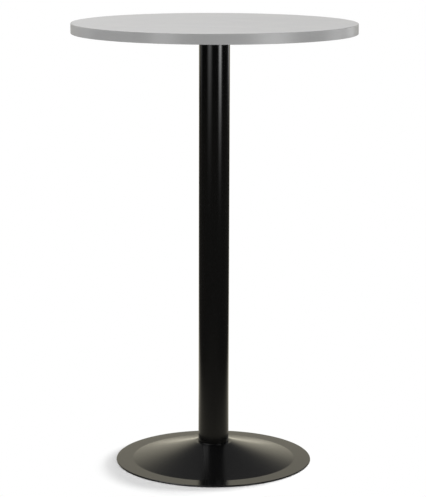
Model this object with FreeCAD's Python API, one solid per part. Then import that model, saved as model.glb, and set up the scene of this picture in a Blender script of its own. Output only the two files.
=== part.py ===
"""Round pub table: a laminated board top on a pressed spider, a tubular column and a trumpet base.

The table is held together by one tie rod. It runs from a nut in the spider hub, down the
column, through the seat of the base shell, to a nut under the cast ballast. The ballast stands
on four levelling feet, each a threaded stud that turns in a pad. They are drawn screwed fully in.

Millimetres, +Z up. The origin is on the floor, on the axis of the column.
"""

import FreeCAD
import Part

import math
import os

# ---- driving dimensions -------------------------------------------------------------------

TABLE_HEIGHT = 1100.0

# The top: a chipboard core between two laminate sheets, with an edge band round all three.
TOP_DIAMETER = 700.0
TOP_THICKNESS = 25.0
LAMINATE_THICKNESS = 0.8
EDGE_BAND_THICKNESS = 2.0
EDGE_BAND_ROUNDING = 1.2

# The column tube.
COLUMN_DIAMETER = 76.0
COLUMN_WALL = 2.0

# The base shell, spun from one sheet: seat, trumpet, flange, rim lip. A rib in the seat locates the column.
BASE_DIAMETER = 490.0
SHELL_SHEET = 2.0
FLANGE_WIDTH = 42.0
CREASE_HEIGHT = 4.4
CREASE_BEND = 16.0
RIM_HEIGHT = 4.0
RIM_BEND = 2.3
LIP_GROUND_GAP = 1.5
SEAT_HEIGHT = 47.0
SEAT_MARGIN = 7.6
SEAT_BEND = 4.0
RIB_GAP = 0.6
RIB_WIDTH = 2.2
RIB_HEIGHT = 1.0
RIB_ROUNDING = 0.9
TRUMPET_SAG = 3.5
TRUMPET_BLEND = 0.9  # share of each run that the trumpet's long bend takes up

# The cast ballast under the trumpet.
BALLAST_INSET = 36.0
BALLAST_GROUND_GAP = 4.0
BALLAST_CLEARANCE = 1.0
BALLAST_ROUNDING = 1.5
BALLAST_ROOF = 12.0
HUB_INSET = 0.5
POCKET_COUNT = 8
POCKET_INNER_RADIUS = 50.0
POCKET_RIM_WIDTH = 52.0
POCKET_RIB_WIDTH = 14.0
POCKET_CORNER = 6.0
NUT_RECESS_DEPTH = 14.0
NUT_RECESS_CLEARANCE = 12.0

# The levelling feet: an M8 stud with a hexagon to turn it by, and a pad that it swivels in.
FOOT_NAMES = ("back_right", "back_left", "front_left", "front_right")
FOOT_INSET = 26.0
FOOT_RECESS_CLEARANCE = 4.0
FOOT_STOP_GAP = 0.1
FIT_CLEARANCE = 0.05
PAD_DIAMETER = 32.0
PAD_HEIGHT = 4.2
PAD_FLOOR = 1.4
PAD_FOOT_ROUNDING = 0.8
PAD_TOP_ROUNDING = 1.2
STUD_DIAMETER = 8.0
STUD_TIP_INSET = 0.5
STUD_CHAMFER = 0.8
STUD_HEXAGON_WIDTH = 13.0
STUD_HEXAGON_HEIGHT = 3.0
STUD_HEXAGON_GAP = 0.2
STUD_NECK_DIAMETER = 5.8
STUD_COLLAR_DIAMETER = 11.0
STUD_COLLAR_THICKNESS = 1.2
STUD_COLLAR_CLEARANCE = 0.1

# The tie rod, M12, with its nuts and washers.
ROD_DIAMETER = 12.0
ROD_CHAMFER = 1.0
ROD_HOLE_CLEARANCE = 0.5
ROD_PROUD = 1.5
NUT_WIDTH = 19.0
NUT_HEIGHT = 10.0
NUT_THREAD_CLEARANCE = 0.05
WASHER_DIAMETER = 24.0
WASHER_THICKNESS = 2.5
LOCK_WASHER_DIAMETER = 21.0
LOCK_WASHER_THICKNESS = 2.5
LOCK_WASHER_SPLIT = 3.0

# The pressed cup that centres the foot of the column on the rod.
CUP_SHEET = 2.0
CUP_HEIGHT = 14.0
CUP_BEND = 1.5
CUP_CLEARANCE = 0.1

# The spider under the top: a turned hub and four pressed arms welded to it.
SPIDER_HEIGHT = 20.0
HUB_FLANGE_THICKNESS = 5.0
HUB_FLANGE_OVERHANG = 4.0
HUB_EDGE_ROUNDING = 1.0
SPIGOT_LENGTH = 12.0
SPIGOT_WALL = 5.0
SPIGOT_CLEARANCE = 0.3
BOSS_TOP_GAP = 1.0
BOSS_BORE_CLEARANCE = 1.0
ARM_COUNT = 4
ARM_NAMES = ("right", "back", "left", "front")
ARM_REACH = 225.0
ARM_WIDTH = 30.0
ARM_TIP_WIDTH = 24.0
ARM_SHEET = 3.0
ARM_TIP_DEPTH = 7.0
ARM_TOP_ROUNDING = 2.5
ARM_WELD_GAP = 0.8

# The screws that hold the spider to the top, two in each arm.
SCREW_TIP_INSET = 20.0
SCREW_SPACING = 87.0
SCREW_DIAMETER = 5.0
SCREW_LENGTH = 20.0
SCREW_POINT = 4.0
SCREW_HEAD_DIAMETER = 11.0
SCREW_HEAD_HEIGHT = 3.4
SCREW_HEAD_ROUNDING = 2.2
SCREW_HOLE_CLEARANCE = 0.5
SCREW_GRIP = 0.05
SCREW_HOLE_RUNOUT = 1.0

# ---- sizes that follow --------------------------------------------------------------------

TOP_RADIUS = TOP_DIAMETER / 2
BOARD_RADIUS = TOP_RADIUS - EDGE_BAND_THICKNESS
UNDERSIDE_Z = TABLE_HEIGHT - TOP_THICKNESS
CORE_FLOOR_Z = UNDERSIDE_Z + LAMINATE_THICKNESS
CORE_ROOF_Z = TABLE_HEIGHT - LAMINATE_THICKNESS

COLUMN_RADIUS = COLUMN_DIAMETER / 2
COLUMN_BORE = COLUMN_RADIUS - COLUMN_WALL
COLUMN_HEAD_Z = UNDERSIDE_Z - SPIDER_HEIGHT

BASE_RADIUS = BASE_DIAMETER / 2
CREASE_RADIUS = BASE_RADIUS - FLANGE_WIDTH
SEAT_RADIUS = COLUMN_RADIUS + SEAT_MARGIN
SEAT_UNDERSIDE_Z = SEAT_HEIGHT - SHELL_SHEET
BALLAST_RADIUS = CREASE_RADIUS - BALLAST_INSET
BALLAST_SHOULDER = COLUMN_RADIUS - HUB_INSET

FOOT_CIRCLE_RADIUS = BALLAST_RADIUS - FOOT_INSET
PAD_RADIUS = PAD_DIAMETER / 2
COLLAR_Z = PAD_FLOOR + STUD_COLLAR_CLEARANCE
HEXAGON_Z = PAD_HEIGHT + STUD_HEXAGON_GAP
HEXAGON_TOP_Z = HEXAGON_Z + STUD_HEXAGON_HEIGHT
FOOT_SEAT_Z = HEXAGON_TOP_Z + FOOT_STOP_GAP

ROD_RADIUS = ROD_DIAMETER / 2
ROD_HOLE = ROD_RADIUS + ROD_HOLE_CLEARANCE
FOOT_NUT_SEAT_Z = BALLAST_GROUND_GAP + NUT_RECESS_DEPTH
LOCK_WASHER_TOP_Z = FOOT_NUT_SEAT_Z - WASHER_THICKNESS
FOOT_NUT_TOP_Z = LOCK_WASHER_TOP_Z - LOCK_WASHER_THICKNESS

HUB_FLANGE_TOP_Z = COLUMN_HEAD_Z + HUB_FLANGE_THICKNESS
HEAD_NUT_Z = HUB_FLANGE_TOP_Z + WASHER_THICKNESS
BOSS_RADIUS = ARM_WIDTH / math.sqrt(2) + ARM_WELD_GAP
BOSS_BORE = WASHER_DIAMETER / 2 + BOSS_BORE_CLEARANCE
ARM_ROOT_DEPTH = SPIDER_HEIGHT - HUB_FLANGE_THICKNESS
OUTER_SCREW_RADIUS = ARM_REACH - SCREW_TIP_INSET
SCREW_RADII = (OUTER_SCREW_RADIUS - SCREW_SPACING, OUTER_SCREW_RADIUS)
SCREW_HEAD_Z = UNDERSIDE_Z - ARM_SHEET

AXIS = FreeCAD.Vector(0, 0, 1)
ORIGIN = FreeCAD.Vector(0, 0, 0)


# ---- drawing helpers ----------------------------------------------------------------------

def turn_at(before, corner, after):
    """The signed turn of a path at a corner, in radians, and the unit runs into and out of it."""
    into = (corner[0] - before[0], corner[1] - before[1])
    out = (after[0] - corner[0], after[1] - corner[1])
    into = tuple(part / math.hypot(*into) for part in into)
    out = tuple(part / math.hypot(*out) for part in out)
    cross = into[0] * out[1] - into[1] * out[0]
    dot = into[0] * out[0] + into[1] * out[1]
    return math.atan2(cross, dot), into, out


def section_point(r, z):
    """A point of a section, drawn in the XZ plane."""
    return FreeCAD.Vector(r, 0, z)


def bend(before, corner, after):
    """Start, middle and end of the arc that rounds a corner (r, z, radius)."""
    turn, into, out = turn_at(before, corner, after)
    reach = corner[2] * math.tan(abs(turn) / 2)
    start = (corner[0] - into[0] * reach, corner[1] - into[1] * reach)
    end = (corner[0] + out[0] * reach, corner[1] + out[1] * reach)
    inward = (out[0] - into[0], out[1] - into[1])
    inward = tuple(part / math.hypot(*inward) for part in inward)
    rise = corner[2] * (1 / math.cos(turn / 2) - 1)
    middle = (corner[0] + inward[0] * rise, corner[1] + inward[1] * rise)
    return start, middle, end


def section_edges(corners, closed):
    """Straight runs joined by tangent arcs, through corners (r, z, radius)."""
    count = len(corners)
    edges = []
    first = None
    pen = None
    for index, corner in enumerate(corners):
        inside = closed or 0 < index < count - 1
        if inside and corner[2] > 0:
            before = corners[index - 1]
            after = corners[(index + 1) % count]
            start, middle, end = (section_point(*p) for p in bend(before, corner, after))
        else:
            start = middle = end = section_point(corner[0], corner[1])
        if pen is not None and (start - pen).Length > 1e-6:
            edges.append(Part.LineSegment(pen, start).toShape())
        if middle is not start:
            edges.append(Part.Arc(start, middle, end).toShape())
        if first is None:
            first = start
        pen = end
    if closed and (first - pen).Length > 1e-6:
        edges.append(Part.LineSegment(pen, first).toShape())
    return edges


def turned(corners):
    """A solid turned about the column's axis from a closed section of corners (r, z, radius)."""
    wire = Part.Wire(section_edges(corners, closed=True))
    return Part.Face(wire).revolve(ORIGIN, AXIS, 360)


def parallel(corners, distance):
    """The open path that runs a distance to the right of another, with its bends adjusted."""
    moved = []
    last = len(corners) - 1
    for index, (r, z, radius) in enumerate(corners):
        if 0 < index < last:
            turn, into, out = turn_at(corners[index - 1], corners[index], corners[index + 1])
            slide = distance * math.tan(turn / 2)
            r += into[1] * distance + into[0] * slide
            z += -into[0] * distance + into[1] * slide
            radius += math.copysign(distance, turn)
        else:
            near = corners[1] if index == 0 else corners[last - 1]
            run = (near[0] - r, near[1] - z) if index == 0 else (r - near[0], z - near[1])
            length = math.hypot(*run)
            r += run[1] / length * distance
            z += -run[0] / length * distance
        moved.append((r, z, radius))
    return moved


def pressed(corners, sheet):
    """A turned sheet part. The corners follow its upper face, from the axis outwards."""
    upper = section_edges(corners, closed=False)
    lower = section_edges(parallel(corners, sheet), closed=False)
    starts = (upper[0].Vertexes[0], lower[0].Vertexes[0])
    ends = (upper[-1].Vertexes[-1], lower[-1].Vertexes[-1])
    caps = [Part.LineSegment(above.Point, below.Point).toShape() for above, below in (starts, ends)]
    wire = Part.Wire(Part.__sortEdges__(upper + lower + caps))
    return Part.Face(wire).revolve(ORIGIN, AXIS, 360)


def cylinder(radius, low, high, x=0.0, y=0.0):
    """An upright cylinder."""
    return Part.makeCylinder(radius, high - low, FreeCAD.Vector(x, y, low))


def hexagon(width, low, high):
    """An upright hexagonal block, with the corners of both faces chamfered off."""
    corner_radius = width / math.sqrt(3)
    corner = FreeCAD.Vector(corner_radius, 0, low)
    turns = [FreeCAD.Rotation(AXIS, 60 * side) for side in range(7)]
    prism = Part.Face(Part.makePolygon([turn.multVec(corner) for turn in turns])).extrude(AXIS * (high - low))
    chamfer = corner_radius - width / 2
    fall = chamfer * math.tan(math.radians(30))
    envelope = turned(
        [
            (0, low, 0),
            (corner_radius - chamfer, low, 0),
            (corner_radius, low + fall, 0),
            (corner_radius, high - fall, 0),
            (corner_radius - chamfer, high, 0),
            (0, high, 0),
        ]
    )
    return prism.common(envelope)


def rod_nut(low):
    """A nut on the tie rod, standing on a height."""
    high = low + NUT_HEIGHT
    return hexagon(NUT_WIDTH, low, high).cut(cylinder(ROD_RADIUS + NUT_THREAD_CLEARANCE, low, high))


def washer(diameter, thickness, low):
    """A flat washer on the rod."""
    return cylinder(diameter / 2, low, low + thickness).cut(cylinder(ROD_HOLE, low, low + thickness))


def foot_places():
    """The (x, y) of every levelling foot, halfway between the arms of the spider."""
    for index in range(len(FOOT_NAMES)):
        angle = 2 * math.pi * (index + 0.5) / len(FOOT_NAMES)
        yield FOOT_CIRCLE_RADIUS * math.cos(angle), FOOT_CIRCLE_RADIUS * math.sin(angle)


def screw_places():
    """The (x, y) of every screw: each radius, on each arm."""
    for arm in range(ARM_COUNT):
        angle = 2 * math.pi * arm / ARM_COUNT
        for radius in SCREW_RADII:
            yield radius * math.cos(angle), radius * math.sin(angle)


# ---- the top ------------------------------------------------------------------------------

def drilled(board, low, high, radius):
    """A board with the screw holes through it."""
    for x, y in screw_places():
        board = board.cut(cylinder(radius, low, high, x, y))
    return board


def top_core():
    """The chipboard disc, with a blind pilot hole for each screw."""
    board = cylinder(BOARD_RADIUS, CORE_FLOOR_Z, CORE_ROOF_Z)
    hole_top = SCREW_HEAD_Z + SCREW_LENGTH + SCREW_HOLE_RUNOUT
    return drilled(board, CORE_FLOOR_Z, hole_top, SCREW_DIAMETER / 2 + SCREW_GRIP)


def top_laminate():
    """The decorative sheet on the core."""
    return cylinder(BOARD_RADIUS, CORE_ROOF_Z, TABLE_HEIGHT)


def underside_laminate():
    """The balancing sheet under the core, drilled for the screws."""
    sheet = cylinder(BOARD_RADIUS, UNDERSIDE_Z, CORE_FLOOR_Z)
    return drilled(sheet, UNDERSIDE_Z, CORE_FLOOR_Z, SCREW_DIAMETER / 2 + SCREW_GRIP)


def edge_band():
    """The plastic band glued round the board, with both of its outer edges rounded."""
    return turned(
        [
            (BOARD_RADIUS, UNDERSIDE_Z, 0),
            (TOP_RADIUS, UNDERSIDE_Z, EDGE_BAND_ROUNDING),
            (TOP_RADIUS, TABLE_HEIGHT, EDGE_BAND_ROUNDING),
            (BOARD_RADIUS, TABLE_HEIGHT, 0),
        ]
    )


def top_screws():
    """Pan-head screws, driven up through the arms into the core."""
    radius = SCREW_DIAMETER / 2
    tip = SCREW_HEAD_Z + SCREW_LENGTH
    screw = turned(
        [
            (0, SCREW_HEAD_Z - SCREW_HEAD_HEIGHT, 0),
            (SCREW_HEAD_DIAMETER / 2, SCREW_HEAD_Z - SCREW_HEAD_HEIGHT, SCREW_HEAD_ROUNDING),
            (SCREW_HEAD_DIAMETER / 2, SCREW_HEAD_Z, 0),
            (radius, SCREW_HEAD_Z, 0),
            (radius, tip - SCREW_POINT, 0),
            (0, tip, 0),
        ]
    )
    return Part.makeCompound([screw.translated(FreeCAD.Vector(x, y, 0)) for x, y in screw_places()])


# ---- the spider ---------------------------------------------------------------------------

def spider_hub():
    """The hub: a spigot in the column, a flange on its end, and a boss that the arms are welded to."""
    spigot = COLUMN_BORE - SPIGOT_CLEARANCE
    flange = COLUMN_RADIUS + HUB_FLANGE_OVERHANG
    boss_top = UNDERSIDE_Z - BOSS_TOP_GAP
    return turned(
        [
            (ROD_HOLE, COLUMN_HEAD_Z, 0),
            (spigot - SPIGOT_WALL, COLUMN_HEAD_Z, HUB_EDGE_ROUNDING),
            (spigot - SPIGOT_WALL, COLUMN_HEAD_Z - SPIGOT_LENGTH, 0),
            (spigot, COLUMN_HEAD_Z - SPIGOT_LENGTH, HUB_EDGE_ROUNDING),
            (spigot, COLUMN_HEAD_Z, 0),
            (flange, COLUMN_HEAD_Z, HUB_EDGE_ROUNDING),
            (flange, HUB_FLANGE_TOP_Z, HUB_EDGE_ROUNDING),
            (BOSS_RADIUS, HUB_FLANGE_TOP_Z, 0),
            (BOSS_RADIUS, boss_top, HUB_EDGE_ROUNDING),
            (BOSS_BORE, boss_top, 0),
            (BOSS_BORE, HUB_FLANGE_TOP_Z, 0),
            (ROD_HOLE, HUB_FLANGE_TOP_Z, 0),
        ]
    )


def arm_block(inset, start):
    """An arm filled solid, tapered in plan to a round tip, with its sides and roof moved in by an inset."""
    root = ARM_WIDTH / 2 - inset
    tip = ARM_TIP_WIDTH / 2 - inset
    tip_centre = ARM_REACH - ARM_TIP_WIDTH / 2
    roof = UNDERSIDE_Z - inset
    deepest = UNDERSIDE_Z - ARM_ROOT_DEPTH
    near_root = FreeCAD.Vector(start, -root, deepest)
    near_tip = FreeCAD.Vector(tip_centre, -tip, deepest)
    tip_end = FreeCAD.Vector(tip_centre + tip, 0, deepest)
    far_tip = FreeCAD.Vector(tip_centre, tip, deepest)
    far_root = FreeCAD.Vector(start, root, deepest)
    plan = [
        Part.LineSegment(near_root, near_tip),
        Part.Arc(near_tip, tip_end, far_tip),
        Part.LineSegment(far_tip, far_root),
        Part.LineSegment(far_root, near_root),
    ]
    wire = Part.Wire([line.toShape() for line in plan])
    return Part.Face(wire).extrude(AXIS * (roof - deepest))


def arm_underside():
    """Everything under the arm's sloping lower edge: level over the hub flange, then rising to the tip."""
    level_end = COLUMN_RADIUS + HUB_FLANGE_OVERHANG
    low = UNDERSIDE_Z - ARM_ROOT_DEPTH
    high = UNDERSIDE_Z - ARM_TIP_DEPTH
    beyond = ARM_REACH + ARM_WIDTH
    slope_end = ARM_REACH - ARM_TIP_WIDTH
    below = low - ARM_ROOT_DEPTH
    edge = [(0, low), (level_end, low), (slope_end, high), (beyond, high)]
    outline = [*edge, (beyond, below), (0, below), (0, low)]
    wire = Part.makePolygon([FreeCAD.Vector(x, -ARM_WIDTH, z) for x, z in outline])
    return Part.Face(wire).extrude(FreeCAD.Vector(0, 2 * ARM_WIDTH, 0))


def upper_edges(block):
    """The edges round the top face of an arm, apart from the one at the hub."""
    return [
        edge
        for edge in block.Edges
        if all(abs(v.Z - UNDERSIDE_Z) < 1e-6 for v in edge.Vertexes) and edge.BoundBox.XMax > BOSS_RADIUS
    ]


def spider_arm(index):
    """One pressed arm: a tapered channel, open below, its root cut to the boss and its web drilled."""
    outside = arm_block(0.0, BOSS_RADIUS / 2)
    outside = outside.makeFillet(ARM_TOP_ROUNDING, upper_edges(outside))
    channel = outside.cut(arm_block(ARM_SHEET, 0.0)).cut(arm_underside())
    arm = channel.cut(cylinder(BOSS_RADIUS, UNDERSIDE_Z - SPIDER_HEIGHT, UNDERSIDE_Z + 1))
    for radius in SCREW_RADII:
        hole = cylinder(SCREW_DIAMETER / 2 + SCREW_HOLE_CLEARANCE, SCREW_HEAD_Z - 1, UNDERSIDE_Z + 1, radius)
        arm = arm.cut(hole)
    return arm.rotated(ORIGIN, AXIS, 360 * index / ARM_COUNT)


# ---- the column ---------------------------------------------------------------------------

def column_tube():
    """The round tube between the seat of the shell and the hub of the spider."""
    outside = cylinder(COLUMN_RADIUS, SEAT_HEIGHT, COLUMN_HEAD_Z)
    return outside.cut(cylinder(COLUMN_BORE, SEAT_HEIGHT, COLUMN_HEAD_Z))


def column_foot_cup():
    """The pressed cup that stands on the seat and centres the foot of the tube."""
    inside = COLUMN_BORE - CUP_CLEARANCE - CUP_SHEET
    floor_top = SEAT_HEIGHT + CUP_SHEET
    path = [(ROD_HOLE, floor_top, 0), (inside, floor_top, CUP_BEND), (inside, SEAT_HEIGHT + CUP_HEIGHT, 0)]
    return pressed(path, CUP_SHEET)


def tie_rod():
    """The rod through the whole table, with chamfered ends."""
    low = FOOT_NUT_TOP_Z - NUT_HEIGHT - ROD_PROUD
    high = HEAD_NUT_Z + NUT_HEIGHT + ROD_PROUD
    return turned(
        [
            (0, low, 0),
            (ROD_RADIUS - ROD_CHAMFER, low, 0),
            (ROD_RADIUS, low + ROD_CHAMFER, 0),
            (ROD_RADIUS, high - ROD_CHAMFER, 0),
            (ROD_RADIUS - ROD_CHAMFER, high, 0),
            (0, high, 0),
        ]
    )


def lock_washer():
    """The split spring washer between the flat washer and the foot nut."""
    low = LOCK_WASHER_TOP_Z - LOCK_WASHER_THICKNESS
    ring = washer(LOCK_WASHER_DIAMETER, LOCK_WASHER_THICKNESS, low)
    slot = Part.makeBox(
        LOCK_WASHER_DIAMETER,
        LOCK_WASHER_SPLIT,
        LOCK_WASHER_THICKNESS,
        FreeCAD.Vector(0, -LOCK_WASHER_SPLIT / 2, low),
    )
    return ring.cut(slot)


# ---- the base -----------------------------------------------------------------------------

def trumpet_corners():
    """The upper face of the shell from the edge of the seat to the crease, with its long concave bend."""
    edge = (SEAT_RADIUS, SEAT_HEIGHT, SEAT_BEND)
    crease = (CREASE_RADIUS, CREASE_HEIGHT, CREASE_BEND)
    middle = ((edge[0] + crease[0]) / 2, (edge[1] + crease[1]) / 2 - TRUMPET_SAG)
    turn, _, _ = turn_at(edge, middle, crease)
    run = math.hypot(crease[0] - middle[0], crease[1] - middle[1])
    return [edge, (*middle, TRUMPET_BLEND * run / math.tan(turn / 2)), crease]


def shell_corners():
    """The whole upper face of the shell, from the rod hole out to the end of the rim lip."""
    return [
        (ROD_HOLE, SEAT_HEIGHT, 0),
        *trumpet_corners(),
        (BASE_RADIUS, RIM_HEIGHT, RIM_BEND),
        (BASE_RADIUS, LIP_GROUND_GAP, 0),
    ]


def base_shell():
    """The spun steel shell, with the rib in its seat that the foot of the column stands inside."""
    inner = COLUMN_RADIUS + RIB_GAP
    outer = inner + RIB_WIDTH
    top = SEAT_HEIGHT + RIB_HEIGHT
    rib = turned(
        [
            (inner, SEAT_HEIGHT, 0),
            (outer, SEAT_HEIGHT, 0),
            (outer, top, RIB_ROUNDING),
            (inner, top, RIB_ROUNDING),
        ]
    )
    return pressed(shell_corners(), SHELL_SHEET).fuse(rib).removeSplitter()


def height_below_trumpet(radius, depth):
    """The height, at a radius, of the line that runs a depth below the shell's upper face."""
    line = Part.Wire(section_edges(parallel(shell_corners()[:-1], depth), closed=False))
    upright = Part.LineSegment(section_point(radius, 0), section_point(radius, SEAT_HEIGHT)).toShape()
    _, nearest, _ = line.distToShape(upright)
    return nearest[0][0].z


def under_trumpet(depth):
    """A solid of everything that lies at least a depth below the shell's upper face."""
    path = parallel(shell_corners()[:-1], depth)
    basement = -SEAT_HEIGHT
    corners = [(0, path[0][1], 0), *path[1:], (BASE_RADIUS, basement, 0), (0, basement, 0)]
    return turned(corners)


def pocket_plan(low, height):
    """The plan of one pocket: a sector between two ribs, with rounded corners, drawn about the X axis."""
    outer = BALLAST_RADIUS - POCKET_RIM_WIDTH
    sector = Part.makeCylinder(outer, height, FreeCAD.Vector(0, 0, low), AXIS, 360 / POCKET_COUNT)
    sector = sector.rotated(ORIGIN, AXIS, -180 / POCKET_COUNT)
    sector = sector.cut(cylinder(POCKET_INNER_RADIUS, low, low + height))
    for side in (-1, 1):
        rib = Part.makeBox(outer, POCKET_RIB_WIDTH, height, FreeCAD.Vector(0, -POCKET_RIB_WIDTH / 2, low))
        sector = sector.cut(rib.rotated(ORIGIN, AXIS, side * 180 / POCKET_COUNT))
    uprights = [edge for edge in sector.Edges if edge.BoundBox.ZLength > height / 2]
    return sector.makeFillet(POCKET_CORNER, uprights)


def ballast_casting():
    """The iron casting: domed under the trumpet, cored with pockets below, its hub carrying the seat."""
    floor = BALLAST_GROUND_GAP
    dome = under_trumpet(SHELL_SHEET + BALLAST_CLEARANCE)
    body = dome.common(cylinder(BALLAST_RADIUS, floor, SEAT_HEIGHT))
    level = [edge for edge in body.Edges if edge.BoundBox.ZLength < 1e-6]
    rims = [edge for edge in level if edge.BoundBox.XMax > BALLAST_RADIUS - 1e-3]
    body = body.makeFillet(BALLAST_ROUNDING, rims)
    roof = under_trumpet(SHELL_SHEET + BALLAST_CLEARANCE + BALLAST_ROOF)
    pocket = pocket_plan(floor - 1, SEAT_HEIGHT).common(roof)
    for index in range(POCKET_COUNT):
        body = body.cut(pocket.rotated(ORIGIN, AXIS, 360 * (index + 0.5) / POCKET_COUNT))
    shoulder = cylinder(BALLAST_SHOULDER, SEAT_UNDERSIDE_Z - BALLAST_ROOF, SEAT_UNDERSIDE_Z)
    body = body.fuse(shoulder).removeSplitter()
    recess = NUT_WIDTH / 2 + NUT_RECESS_CLEARANCE
    body = body.cut(cylinder(recess, floor - 1, FOOT_NUT_SEAT_Z))
    for x, y in foot_places():
        body = body.cut(cylinder(PAD_RADIUS + FOOT_RECESS_CLEARANCE, floor - 1, FOOT_SEAT_Z, x, y))
        body = body.cut(cylinder(STUD_DIAMETER / 2 + FIT_CLEARANCE, floor, SEAT_HEIGHT, x, y))
    return body.cut(cylinder(ROD_HOLE, 0, SEAT_HEIGHT))


# ---- the levelling feet -------------------------------------------------------------------

def foot_pad():
    """A pad on the floor, with the socket that holds the collar of its stud."""
    socket = STUD_COLLAR_DIAMETER / 2 + STUD_COLLAR_CLEARANCE
    socket_top = COLLAR_Z + STUD_COLLAR_THICKNESS + STUD_COLLAR_CLEARANCE
    neck = STUD_NECK_DIAMETER / 2 + FIT_CLEARANCE
    return turned(
        [
            (0, 0, 0),
            (PAD_RADIUS, 0, PAD_FOOT_ROUNDING),
            (PAD_RADIUS, PAD_HEIGHT, PAD_TOP_ROUNDING),
            (neck, PAD_HEIGHT, 0),
            (neck, socket_top, 0),
            (socket, socket_top, 0),
            (socket, PAD_FLOOR, 0),
            (0, PAD_FLOOR, 0),
        ]
    )


def foot_stud():
    """A stud: a collar and neck in the pad, the hexagon, and the threaded end in the ballast."""
    outermost = FOOT_CIRCLE_RADIUS + STUD_DIAMETER / 2
    thread_top = height_below_trumpet(outermost, SHELL_SHEET + BALLAST_CLEARANCE) - STUD_TIP_INSET
    spindle = turned(
        [
            (0, COLLAR_Z, 0),
            (STUD_COLLAR_DIAMETER / 2, COLLAR_Z, 0),
            (STUD_COLLAR_DIAMETER / 2, COLLAR_Z + STUD_COLLAR_THICKNESS, 0),
            (STUD_NECK_DIAMETER / 2, COLLAR_Z + STUD_COLLAR_THICKNESS, 0),
            (STUD_NECK_DIAMETER / 2, HEXAGON_Z, 0),
            (STUD_DIAMETER / 2, HEXAGON_Z, 0),
            (STUD_DIAMETER / 2, thread_top - STUD_CHAMFER, 0),
            (STUD_DIAMETER / 2 - STUD_CHAMFER, thread_top, 0),
            (0, thread_top, 0),
        ]
    )
    return spindle.fuse(hexagon(STUD_HEXAGON_WIDTH, HEXAGON_Z, HEXAGON_TOP_Z)).removeSplitter()


# ---- the assembly -------------------------------------------------------------------------

def assembly():
    """Every node of the table, by name."""
    nodes = {
        "top_core": top_core(),
        "top_laminate": top_laminate(),
        "underside_laminate": underside_laminate(),
        "edge_band": edge_band(),
        "top_screws": top_screws(),
        "spider_hub": spider_hub(),
        "column_tube": column_tube(),
        "column_foot_cup": column_foot_cup(),
        "tie_rod": tie_rod(),
        "tie_rod_head_washer": washer(WASHER_DIAMETER, WASHER_THICKNESS, HUB_FLANGE_TOP_Z),
        "tie_rod_head_nut": rod_nut(HEAD_NUT_Z),
        "tie_rod_foot_washer": washer(WASHER_DIAMETER, WASHER_THICKNESS, LOCK_WASHER_TOP_Z),
        "tie_rod_lock_washer": lock_washer(),
        "tie_rod_foot_nut": rod_nut(FOOT_NUT_TOP_Z - NUT_HEIGHT),
        "base_shell": base_shell(),
        "ballast_casting": ballast_casting(),
    }
    for index, name in enumerate(ARM_NAMES):
        nodes[f"spider_arm_{name}"] = spider_arm(index)
    for name, (x, y) in zip(FOOT_NAMES, foot_places()):
        place = FreeCAD.Vector(x, y, 0)
        nodes[f"foot_pad_{name}"] = foot_pad().translated(place)
        nodes[f"foot_stud_{name}"] = foot_stud().translated(place)
    return nodes


def main():
    os.makedirs("parts", exist_ok=True)
    for name, shape in assembly().items():
        shape.exportStep(f"parts/{name}.step")
        print(f"{name}: {len(shape.Solids)} solid, {shape.Volume / 1000:.1f} cm3, valid {shape.isValid()}")


main()
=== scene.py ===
"""Looks of a round pub table, laid out as an add-on and run as a script.

Each operator makes one group of pieces around the fixed frame, and the last one makes the studio.
Lengths are metres, +Z is up, and the floor is at 0 under the middle of the table.
"""

import math

import bmesh
import bpy
from bpy.props import FloatProperty, FloatVectorProperty, PointerProperty
from mathutils import Matrix, Vector


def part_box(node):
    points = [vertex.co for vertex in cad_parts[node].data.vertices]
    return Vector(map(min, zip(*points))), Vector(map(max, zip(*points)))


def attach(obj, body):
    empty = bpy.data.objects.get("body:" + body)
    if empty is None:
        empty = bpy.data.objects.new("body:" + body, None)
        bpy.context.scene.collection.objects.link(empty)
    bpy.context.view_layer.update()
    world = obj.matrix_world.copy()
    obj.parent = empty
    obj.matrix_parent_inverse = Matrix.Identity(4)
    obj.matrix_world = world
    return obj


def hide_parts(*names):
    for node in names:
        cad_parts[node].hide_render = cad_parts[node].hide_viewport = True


bl_info = {
    "name": "Round pub table",
    "version": (1, 0, 0),
    "blender": (4, 5, 0),
    "location": "3D View > Sidebar > Pub table",
    "description": "Dresses the frame of a round pub table and sets up its studio",
    "category": "Object",
}

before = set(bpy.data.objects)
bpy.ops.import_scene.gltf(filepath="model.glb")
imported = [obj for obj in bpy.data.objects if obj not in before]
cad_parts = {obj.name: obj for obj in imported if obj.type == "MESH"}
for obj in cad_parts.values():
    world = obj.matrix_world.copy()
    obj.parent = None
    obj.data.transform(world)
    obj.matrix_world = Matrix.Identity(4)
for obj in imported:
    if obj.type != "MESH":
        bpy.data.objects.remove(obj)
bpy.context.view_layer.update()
BODY = "table"
FEET = ("back_right", "back_left", "front_left", "front_right")
ARMS = ("right", "back", "left", "front")
THREAD_DEPTH = 0.6  # of a machine thread, as a share of its pitch
THREAD_STEPS = 8  # points along one pitch of it
ON_AXIS = 1e-7  # a point of an outline that is nearer the axis than this is a pole
materials = {}


# ---- user settings ------------------------------------------------------------------------

def number(name, description, default, **limits):
    """A number setting, with its limits and unit where it has them."""
    return FloatProperty(name=name, description=description, default=default, **limits)


def length(name, description, default):
    """A length setting, in metres."""
    return number(name, description, default, min=0.0, unit="LENGTH", precision=5)


def share(name, description, default):
    """A setting from 0 to 1."""
    return number(name, description, default, min=0.0, max=1.0, subtype="FACTOR")


def angle(name, description, default):
    """An angle setting, in radians."""
    return number(name, description, default, subtype="ANGLE")


def colour(name, description, default):
    """A linear colour setting."""
    return FloatVectorProperty(
        name=name, description=description, default=default, size=3, min=0.0, max=1.0, subtype="COLOR")


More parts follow.
